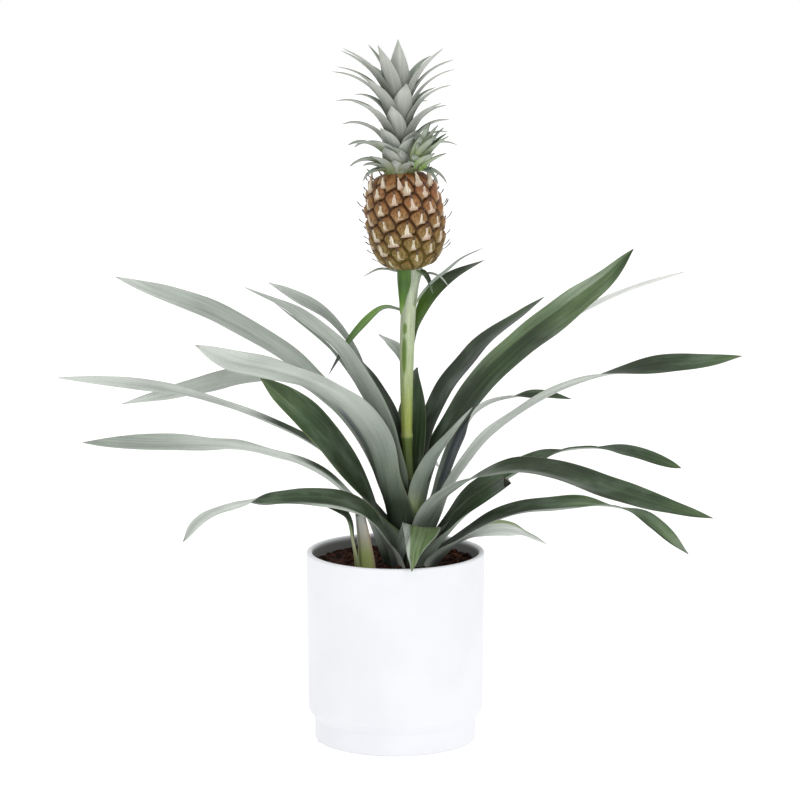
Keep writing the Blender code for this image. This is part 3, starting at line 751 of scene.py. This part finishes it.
def rind_surface():
    g = Graph("fruit_rind_surface")
    eye = g.attribute("eye")
    _, eye_z, groove = g.parts(eye)
    level, kind, _ = g.parts(g.attribute("tone"))
    spot = g.spot()
    mottle = g.noise(spot, 520, 4.0, 0.6)
    grain = g.noise(spot, 1900, 3.0)
    streak = g.noise(g.stretch(eye, (0.55, 0.3, 0.0)))
    colour = g.blend(g.span(level, 0.15, 0.85), (120, 104, 50), (150, 88, 56))
    colour = g.blend(g.span(kind, 0.0, 1.0, 0.0, 0.5), colour, (108, 102, 46))
    colour = g.blend(g.span(mottle, 0.48, 0.68, 0.0, 0.8), colour, (164, 130, 86))
    colour = g.blend(g.span(streak, 0.48, 0.64, 0.0, 0.6), colour, (70, 44, 14))
    # Painted shade: the upper part of each eye darkens.
    colour = g.blend(g.span(eye_z, 1.5, 5.5, 0.0, 0.45), colour, (96, 54, 20))
    colour = g.blend(g.span(eye_z, -5.0, -1.0, 0.5, 0.0), colour, (160, 138, 98))
    colour = g.blend(g.span(groove, 1.2, 5.0, 0.75, 0.0), colour, (88, 52, 14))
    seam = g.blend(g.span(level, 0.06, 0.5), (88, 82, 10), (56, 30, 6))
    colour = g.blend(g.span(groove, 0.5, 2.3, 1.0, 0.0), colour, seam)
    colour = g.lit(colour, g.vary(grain, 0.85, 1.15))
    height = g.weighed(mottle, 0.6, grain, 0.4)
    return g.finish(colour, g.vary(mottle, 0.38, 0.62), g.bump(height, 0.6, 0.0006), 0.28)


def make_fruit(rows=170, segments=240):
    t = (1 - np.cos(np.pi * np.linspace(0, 1, rows))) / 2
    angle = round_angles(segments)
    height, turn = np.meshgrid(t * FRUIT_LENGTH, angle, indexing="ij")
    k = np.arange(EYES)
    dx = (turn[..., None] - EYE_START - k * EYE_TURN + np.pi) % (2 * np.pi) - np.pi
    dx = dx * EYE_CIRCLE
    dz = height[..., None] - (k + 0.5) * EYE_RISE
    plain = np.hypot(dx, dz)
    # an eye counts as nearer below its middle than above it, which gives it its kite shape
    rise = dz / np.maximum(plain, 0.01)
    far = plain * (1.15 + 0.36 * rise) - 2.1 * rise * np.minimum(plain / 2, 1)
    order = np.argsort(far, axis=-1)
    first, second = order[..., 0], order[..., 1]
    gap = pick(far, second) - pick(far, first)
    near_x, near_z = pick(dx, first), pick(dz, first)
    dome = 1 - (1 - np.clip(gap / EYE_WIDTH, 0, 1)) ** 2.6
    fade = ease(np.minimum(t, 1 - t) / END_FADE)[:, None]
    swell = EYE_SWELL * np.exp(-((near_x / 4.5) ** 2 + ((near_z - 0.5) / 4.0) ** 2))
    bumpy = np.array([[noise.noise(Vector((a * 9, h / 3.2, 4.0))) for a in angle] for h in t * FRUIT_LENGTH])
    lift = fade * (EYE_HEIGHT * dome + swell + 0.3 * bumpy * dome) - SEAM_DEPTH
    fruit = Shape()
    fruit.add(on_fruit(turn, height, lift), skin(rows, segments), eye=stacked(near_x, near_z, gap),
              tone=stacked(height / FRUIT_LENGTH, (first * GOLDEN_SHARE) % 1.0, turn))
    fruit.build("fruit", rind_surface(), ["fruit"])


def bract_surface():
    g = Graph("bract_surface")
    place = g.attribute("place")
    along = g.parts(place)[2]
    level, kind, across = g.parts(g.attribute("tone"))
    lines = g.noise(g.stretch(place, (1.6, 0.12, 0.0)))
    colour = g.blend(g.span(lines, 0.35, 0.65), (172, 156, 132), (224, 216, 196))
    colour = g.blend(g.span(kind, 0.4, 1.0, 0.0, 0.35), colour, (184, 146, 134))
    colour = g.blend(g.span(along, 0.0, 0.22, 0.55, 0.0), colour, (138, 94, 66))
    colour = g.blend(g.span(level, 0.0, 0.35, 0.45, 0.0), colour, (158, 160, 98))
    colour = g.blend(g.span(g.maths("ABSOLUTE", across), 0.7, 1.0, 0.0, 0.35), colour, (120, 80, 46))
    colour = g.blend(g.span(along, 0.64, 0.78, 0.0, 0.95), colour, (70, 54, 46))
    return g.finish(colour, g.vary(lines, 0.5, 0.7), g.bump(lines, 0.35, 0.0004), 0.25)


RING_BRACTS = 10
# the share of a bract that is scale, before its awn, and the sizes of a middling one
SCALE_SHARE = 0.7
SCALE_HALF_WIDTH = 5.9
SCALE_RISE = 9.2
SCALE_FOOT = 6.0


def make_bracts(stations=14, columns=9):
    """The pointed scale in each eye and in a ring round the crown's foot, with a dry awn at its tip."""
    bracts = Shape()
    chance = random.Random(7)
    v = np.linspace(0, 1, stations)
    w = np.linspace(-1, 1, columns)
    on_scale = v < SCALE_SHARE
    in_scale = v / SCALE_SHARE
    in_awn = np.maximum(v - SCALE_SHARE, 0) / (1 - SCALE_SHARE)
    spots = [(EYE_START + k * EYE_TURN, (k + 0.5) * EYE_RISE) for k in range(EYES)]
    spots = [(angle, middle) for angle, middle in spots if 5 < middle < FRUIT_LENGTH - 7]
    spots += [(math.radians(18 + 36 * i), FRUIT_LENGTH - 5.0 - 1.5 * (i % 2)) for i in range(RING_BRACTS)]
    for k, (angle, middle) in enumerate(spots):
        level = middle / FRUIT_LENGTH
        size = chance.uniform(0.78, 1.12)
        rise = (SCALE_RISE + 2.6 * max(level - 0.75, 0) * 4) * size
        awn = chance.uniform(3.5, 7.5)
        lean = chance.uniform(-0.2, 0.2)
        slim = chance.uniform(1.3, 2.1)
        kite = np.maximum(1 - in_scale, 0) ** slim * 0.87 + 0.13
        half = SCALE_HALF_WIDTH * size * np.where(on_scale, kite, 0.13 * (1.25 - v) / 0.55)
        half = half * (1 - chance.uniform(0.2, 0.6) * (1 - ease(v / 0.2)))
        half = half * (1 + 0.16 * np.sin(v * 17 + 6 * chance.random()))
        climb = np.where(on_scale, in_scale * rise, rise + awn * 0.7 * in_awn**1.8)
        lift = np.where(on_scale, 1.5 + 1.7 * in_scale**1.5, 3.2 + awn * 0.8 * in_awn)
        start = middle - SCALE_FOOT * size
        height = start + climb
        inward = fruit_radius(start / FRUIT_LENGTH) - fruit_radius(np.minimum(height / FRUIT_LENGTH, 1.0))
        lift = lift + 0.7 * ease((level - 0.72) / 0.16) * np.maximum(inward, 0)
        turn = angle + (w * half[:, None] + lean * climb[:, None]) / EYE_CIRCLE
        crest = (1 - w**2) * 0.8 * ease((0.75 - v) / 0.4)[:, None]
        outer_lift = lift[:, None] + crest
        inner_lift = lift[:, None] + crest[:, ::-1] - 0.8 - 0.2 * (1 - v)[:, None]
        heights = np.broadcast_to(height[:, None], turn.shape)
        faces = [on_fruit(turn, heights, outer_lift), on_fruit(turn[:, ::-1], heights, inner_lift)]
        over = np.maximum(height - FRUIT_LENGTH, 0)[:, None, None] * (FRUIT_AXIS / FRUIT_LENGTH)
        across = np.concatenate([w, w[::-1]])
        bracts.add(np.concatenate(faces, axis=1) + over, skin(stations, 2 * columns),
                   place=stacked(across * half[:, None] + k * 11.0, climb[:, None], v[:, None]),
                   tone=stacked(level, chance.random(), across + 0 * v[:, None]))
    bracts.build("fruit_bracts", bract_surface())


make_fruit()
make_bracts()

# ------------ crown
# for each leaf its azimuth, its foot's height over the crown's base, its width, its tip and its curl
CROWN_LEAVES = """
    205 1 10 31 443 46, 345 1 10 38 441 46, 192 4 13 39 454 42, 20 6 10 48 468 42, 300 5 16 22 478 24,
    135 8 13 50 464 42, 224 6 18 28 475 30, 318 13 15 19 483 20, 192 15 13 45 487 44, 80 18 13 46 480 50,
    356 20 12 37 501 36, 251 22 17 19 502 14, 180 24 11 49 504 44, 150 30 10 41 507 44, 28 30 10 32 513 36,
    288 34 18 18 519 14, 342 44 15 35 545 20, 172 42 10 45 542 26, 112 46 14 34 534 18,
    264 46 18 9.5 551.8 5, 228 44 19 24.5 548 10, 192 44 13 44 545 26, 186 36 12 52 527 34,
    165 38 9 50 529 34, 216 32 18 36 525 24, 206 22 17 39 505 28, 8 40 9 42 535 34, 352 34 10 43 529 34,
    346 28 12 41 517 36, 334 20 16 36 504 26, 5 12 11 39 489 44, 15 8 10 39 479 44, 231 10 18 23 485 20,
    22 42 10 16 532 20, 208 9 14 45 472 38, 322 1 10 38 442 46, 256 3 16 17 470 26, 152 50 11 27 546 16,
    60 26 12 44 500 44, 110 28 13 46 506 44, 50 44 12 38 536 34, 90 38 12 42 526 38, 130 40 12 42 530 36,
    50 10 12 46 470 50, 100 6 12 46 462 54, 276 -1 16 16 468 14, 165 2 12 40 452 46, 238 -1 17 22 470 22,
    216 -3 16 28 463 30, 300 -3 14 23 459 28, 256 -4 15 16 460 16, 284 -4 13 16 457 18,
    200 -2 13 30 455 40, 332 -2 13 30 450 40"""
WIDE_LEAF = {"form": "0 .8, .3 1, .5 .95, .75 .6, .92 .2, 1 .02", "channel": 0.28}
SLIM_LEAF = {"form": "0 .9, .25 1, .5 .75, .75 .42, .92 .16, 1 .02", "channel": 0.42}
WIDE_FROM = 13
UPPER_TINTS = "deep 0, #6E6E62 .13, #94978F .32, #ABAEA8 .58, #B9BCB5 .8, #A0A59A 1"
LOWER_TINTS = "#66743E 0, #7F8A62 .26, #9A9F92 .5, #AEB1AA .75, #949A90 1"
UPPER_FROM = 9


def crown_line(foot, tip, curl):
    """A launch up from the core and an arch over to the tip, as points of a cubic curve."""
    core = max(2.6, 9.3 - 0.115 * foot) - 1.2
    start = np.array((core, CROWN_BASE + foot - 3))
    end = np.array(tip, float)
    chord = end - start
    slope = math.atan2(chord[1], chord[0])
    reach = float(np.linalg.norm(chord))
    launch = min(slope + math.radians(curl), math.radians(88))
    arrive = slope - math.radians(curl) * 1.1
    p1 = start + 0.40 * reach * np.array((math.cos(launch), math.sin(launch)))
    p2 = end - 0.38 * reach * np.array((math.cos(arrive), math.sin(arrive)))
    t = np.linspace(0, 1, 9)[:, None]
    return (1 - t) ** 3 * start + 3 * t * (1 - t) ** 2 * p1 + 3 * t * t * (1 - t) * p2 + t**3 * end


crown_surface = leaf_finish("crown_leaf_surface", streak=0.8, top_roughness=0.5, specular=0.25)
for i, (azimuth, foot, width, out, height, curl) in enumerate(keys(CROWN_LEAVES), 1):
    form_of_leaf = WIDE_LEAF if width > WIDE_FROM else SLIM_LEAF
    under = UPPER_TINTS if foot > UPPER_FROM else LOWER_TINTS
    grow(f"crown_leaf_{i:02d}", crown_surface, "crown_leaf", azimuth, width,
         crown_line(foot, (out, height), curl), top="moss 0, sage .3, haze .7, sage 1", under=under,
         centre=(CROWN_X, 0.0), stations=36, thick=THIN, wave=0.2, **form_of_leaf)


make_stem("crown_core", "9 0, 8 12, 6 30, 4 48, 2.5 60", 40, 28, CROWN_BASE, CROWN_X, stem_finish)

# ------------ slip, the plantlet beside the crown
# for each leaf its azimuth, slope, length and width
SLIP_LEAVES = """200 40 10 12, 350 32 22 13, 238 55 13 14, 310 36 20 14, 120 64 24 10, 60 60 28 12,
    15 50 30 13, 345 46 30 15, 262 70 17 15, 0 58 31 14, 318 54 26 16, 275 70 21 14, 338 64 30 15,
    40 72 28 11, 308 70 28 13"""
SLIP_FOOT = (18.6, -17.0)
SLIP_BASE = 453.5
SLIP_STEP = 0.6
SLIP_RIM = "#76904A 0, #7C8E64 .4, green 1"


def make_slip():
    slip = Shape()
    for i, (azimuth, slope, length, width) in enumerate(keys(SLIP_LEAVES)):
        out = length * math.cos(math.radians(slope))
        rise = length * math.sin(math.radians(slope))
        foot = SLIP_BASE + i * SLIP_STEP
        line = ((0.6, foot - 1), (0.3 * out + 1.0, foot + 0.42 * rise), (0.7 * out + 1.5, foot + 0.8 * rise),
                (out + 2.0, foot + rise))
        blade(slip, f"slip{i}", azimuth, width, line, "#5F7E30 0, moss .4, dark 1",
              "#5F7E30 0, #76904A .16, #94A084 .34, #A6ADA0 .75, sage 1", centre=SLIP_FOOT, stations=26,
              form="0 .8, .3 1, .55 .8, .8 .4, 1 .03", channel=0.35, thick=THIN, wave=0.1,
              rims=((0.86, SLIP_RIM), (-0.86, SLIP_RIM)))
    slip.build("slip", leaf_finish("slip_leaf_surface", streak=0.7), ["slip"])


make_slip()


# ------------ pot
def ceramic_surface():
    g = Graph("ceramic_surface")
    spot = g.spot()
    cloud = g.noise(spot, 14, 3.0)
    peel = g.noise(spot, 700, 3.0)
    pits = g.cells(spot, 260)
    # Painted shade: the inner wall greys with its depth below the rim.
    shade_depth = g.parts(g.attribute("inside"))[0]
    colour = g.blend(g.span(cloud, 0.35, 0.65), (225, 226, 230), (229, 230, 234))
    colour = g.blend(g.span(pits, 0.03, 0.09, 0.10, 0.0), colour, (190, 192, 198))
    colour = g.blend(g.span(shade_depth, 0.8, 4.5), colour, (138, 140, 139))
    height = g.weighed(peel, 0.5, cloud, 0.5)
    return g.finish(colour, g.vary(peel, 0.36, 0.50), g.bump(height, 0.10, 0.0006), 0.35)


def make_pot(segments=224):
    lip, inner = 1.8, RIM_RADIUS - POT_WALL
    foot, shoulder = 63.5, 68.8
    step_low, step_high = 17.5, 24.5
    profile = [(40.0, 0.9), (58.0, 0.7), (foot - 3.2, 0.0)]
    profile += arc((foot - 1.5, 1.5), 1.5, -80, 0, 5)
    profile += [(foot, step_low - 1.0), (foot + 0.2, step_low), (foot + 0.9, step_low + 1.0)]
    profile += [(foot + 4.5, step_high - 1.3), (foot + 5.1, step_high - 0.4), (shoulder, step_high + 0.6)]
    profile += [(shoulder + (RIM_RADIUS - shoulder) * t, step_high + (POT_HEIGHT - lip - step_high) * t)
                for t in np.linspace(0.05, 1, 14)]
    profile += arc((RIM_RADIUS - lip, POT_HEIGHT - lip), lip, 5, 90, 8)
    profile += arc((inner + lip, POT_HEIGHT - lip), lip, 95, 180, 8)
    profile += [(inner, z) for z in np.linspace(POT_HEIGHT - 4, 30, 12)]
    profile += [(foot - POT_WALL, 22.0), (foot - POT_WALL - 3, 9.0), (foot - POT_WALL - 6, 7.0)]
    rim_top = max(i for i, (_, z) in enumerate(profile) if z > POT_HEIGHT - 0.01)
    # Depth below the rim on the inner wall, for the finish's painted shade.
    shade_depth = [max(0.0, POT_HEIGHT - z) if i > rim_top else 0.0 for i, (_, z) in enumerate(profile)]
    pot = Shape()
    turned(pot, profile, segments, inside=np.repeat(shade_depth, 3 * segments))
    pot.build("pot", ceramic_surface(), ["pot"], sharp=50)


make_pot()

# ------------ growing medium
SOIL_RADIUS = RIM_RADIUS - POT_WALL - 0.3
# the sides and the underside of the growing medium, from the top down, as (radius, height)
SOIL_SIDES = ((SOIL_RADIUS, 120.0), (SOIL_RADIUS, 60.0), (60.0, 24.0), (54.5, 7.5), (30.0, 7.4))
CRUMBS = 520
CRUMB_SIZES = (0.8, 1.0, 1.3, 1.7, 2.3)
CRUMB_CORNERS = """0 0 1, 0 0 -1, 1 0 .3, -.2 1 .2, -1 -.1 .3, .1 -1 .2, .7 .7 -.4, -.7 .6 -.3,
    -.6 -.7 -.4, .7 -.7 -.3"""
FIBRES = 150
FIBRE_STEPS = 7


def soil_height(x, y):
    """The heaped, crumbly surface of the growing medium."""
    low = noise.noise(Vector((x / 22, y / 22, 1.0))) * 1.6
    mid = noise.noise(Vector((x / 6, y / 6, 5.0))) * 1.3
    fine = noise.noise(Vector((x / 2.2, y / 2.2, 9.0))) * 0.8
    return SOIL_TOP - 1.2 + low + mid + fine


def soil_surface():
    g = Graph("growing_medium_surface")
    spot = g.spot()
    clods = g.noise(spot, 260, 5.0, 0.65)
    grain = g.noise(spot, 1300, 3.0, 0.6)
    fleck = g.parts(g.cells(spot, 420, "Color"))[0]
    colour = g.blend(g.span(clods, 0.35, 0.66), (22, 14, 11), (66, 38, 27))
    colour = g.blend(g.span(fleck, 0.80, 0.92, 0.0, 0.55), colour, (104, 60, 38))
    colour = g.blend(g.span(grain, 0.62, 0.74, 0.0, 0.4), colour, (120, 84, 58))
    height = g.weighed(clods, 0.6, grain, 0.4)
    return g.finish(colour, g.vary(grain, 0.85, 1.0), g.bump(height, 0.9, 0.002), 0.12)


def make_soil(finish, rings=44, segments=150):
    radii = [*np.linspace(0.8, SOIL_RADIUS - 0.6, rings), SOIL_RADIUS]
    angle = round_angles(segments)
    rows = []
    for r in radii:
        flat = [(r * math.cos(a), r * math.sin(a)) for a in angle]
        rows.append(np.array([(x, y, soil_height(x, y)) for x, y in flat]))
    rows += [ring(radius, z, angle) for radius, z in SOIL_SIDES]
    soil = Shape()
    soil.add(rows[::-1], skin(len(rows), segments))
    soil.build("soil", finish, ["soil"])


def hull_of(points):
    """The convex hull of a few points, as points and faces."""
    shell = bmesh.new()
    for p in points:
        shell.verts.new(p)
    result = bmesh.ops.convex_hull(shell, input=shell.verts)
    extra = [v for v in result["geom_interior"] + result["geom_unused"] if isinstance(v, bmesh.types.BMVert)]
    bmesh.ops.delete(shell, geom=list(set(extra)), context="VERTS")
    shell.verts.index_update()
    made = [tuple(v.co) for v in shell.verts], [tuple(v.index for v in f.verts) for f in shell.faces]
    shell.free()
    return made


def tube(path, radius, sides):
    """A thin closed tube along a path, thinner at its ends."""
    path = np.asarray(path, float)
    along = np.gradient(path, axis=0)
    along /= np.linalg.norm(along, axis=1)[:, None]
    a = np.cross(along, (0.13, 0.21, 1.0))
    a /= np.linalg.norm(a, axis=1)[:, None]
    b = np.cross(along, a)
    turn = round_angles(sides)[:, None]
    taper = radius * np.sin(np.linspace(0.35, math.pi - 0.35, len(path)))
    points = path[:, None] + taper[:, None, None] * (a[:, None] * np.cos(turn) + b[:, None] * np.sin(turn))
    return points, skin(len(path), sides)


def place_on_soil(chance, within):
    """A random radius and angle, evenly spread over a share of the surface."""
    return SOIL_RADIUS * math.sqrt(chance.random()) * within, chance.uniform(0, math.tau)


def crumb(chance):
    """One small lump of the growing medium."""
    r, a = place_on_soil(chance, 0.97)
    size = chance.choice(CRUMB_SIZES) * chance.uniform(0.8, 1.2)
    r = min(r, SOIL_RADIUS - size)
    x, y = r * math.cos(a), r * math.sin(a)
    centre = Vector((x, y, soil_height(x, y) + 0.25 * size))
    heading = Vector([chance.random() for _ in range(3)]) * 6
    turn = Vector((1, 0, 0)).rotation_difference(heading.normalized())
    corners = []
    for row in keys(CRUMB_CORNERS):
        corner = Vector(row).normalized()
        corner.rotate(turn)
        corners.append(centre + corner * size * chance.uniform(0.7, 1.15))
    return hull_of(corners)


def fibre(chance):
    """One root fibre that lies on the growing medium."""
    r, a = place_on_soil(chance, 0.93)
    x, y = r * math.cos(a), r * math.sin(a)
    heading = chance.uniform(0, math.tau)
    length = chance.uniform(4, 13)
    bend = chance.uniform(-1.0, 1.0)
    thick = chance.uniform(0.16, 0.4)
    path = []
    for i in range(FIBRE_STEPS):
        t = i / (FIBRE_STEPS - 1) - 0.5
        way = heading + bend * t
        px, py = x + length * t * math.cos(way), y + length * t * math.sin(way)
        inside = min(1.0, (SOIL_RADIUS - 0.5) / math.hypot(px, py))
        px, py = px * inside, py * inside
        path.append((px, py, soil_height(px, py) + thick + 0.9 * max(0, math.sin(6 * t + bend))))
    return tube(path, thick, 5)


def make_crumbs(finish):
    crumbs = Shape()
    chance = random.Random(21)
    for _ in range(CRUMBS):
        crumbs.add(*crumb(chance))
    for _ in range(FIBRES):
        crumbs.add(*fibre(chance))
    crumbs.build("soil_crumbs", finish, sharp=40)


soil_finish = soil_surface()
make_soil(soil_finish)
make_crumbs(soil_finish)

# ------------ floor, light and camera
WHITE = (1, 1, 1, 1)
PLANT_MIDDLE = (0, 0, 0.28)
CAMERA_PLACE = (0.0035, -2.954, 0.791)
CAMERA_AIM = (0.0035, 0, 0.270)


def put_in_scene(name, data, place=(0, 0, 0), aim=None):
    """An object of the scene, in metres, that looks along its -Z at its aim."""
    made = bpy.data.objects.new(name, data)
    made.location = place
    if aim:
        made.rotation_euler = (Vector(aim) - Vector(place)).to_track_quat("-Z", "Y").to_euler()
    bpy.context.scene.collection.objects.link(made)
    return made


def make_floor(radius=6, sides=96):
    mesh = bpy.data.meshes.new("floor")
    turn = [math.tau * i / sides for i in range(sides)]
    mesh.from_pydata([(radius * math.cos(a), radius * math.sin(a), 0) for a in turn], [],
                     [tuple(range(sides))])
    g = Graph("floor_surface")
    colour = g.blend(g.noise(g.spot(), 2.0, 2.0), (247, 247, 247), (251, 251, 251))
    mesh.materials.append(g.finish(colour, 0.8, None, 0.1))
    g.join(g.shader, {"Emission Color": WHITE, "Emission Strength": 0.22})
    floor = put_in_scene("floor", mesh)


def make_world():
    world = bpy.data.worlds.new("studio")
    world.use_nodes = True
    background = world.node_tree.nodes["Background"]
    background.inputs["Color"].default_value = WHITE
    background.inputs["Strength"].default_value = 1.0
    bpy.context.scene.world = world


def make_lamp(name, place, size, power):
    data = bpy.data.lights.new(name, "AREA")
    data.shape = "SQUARE"
    data.size = size
    data.energy = power
    put_in_scene(name, data, place, PLANT_MIDDLE)


def make_camera():
    data = bpy.data.cameras.new("camera")
    data.lens = 173
    data.sensor_width = 36
    bpy.context.scene.camera = put_in_scene("camera", data, CAMERA_PLACE, CAMERA_AIM)


make_floor()
make_world()
make_lamp("key", (1.3, -1.9, 1.7), 1.0, 10.5)
make_lamp("fill", (-1.8, -1.6, 0.9), 1.4, 2)
make_camera()
bpy.context.scene.view_settings.view_transform = "Standard"
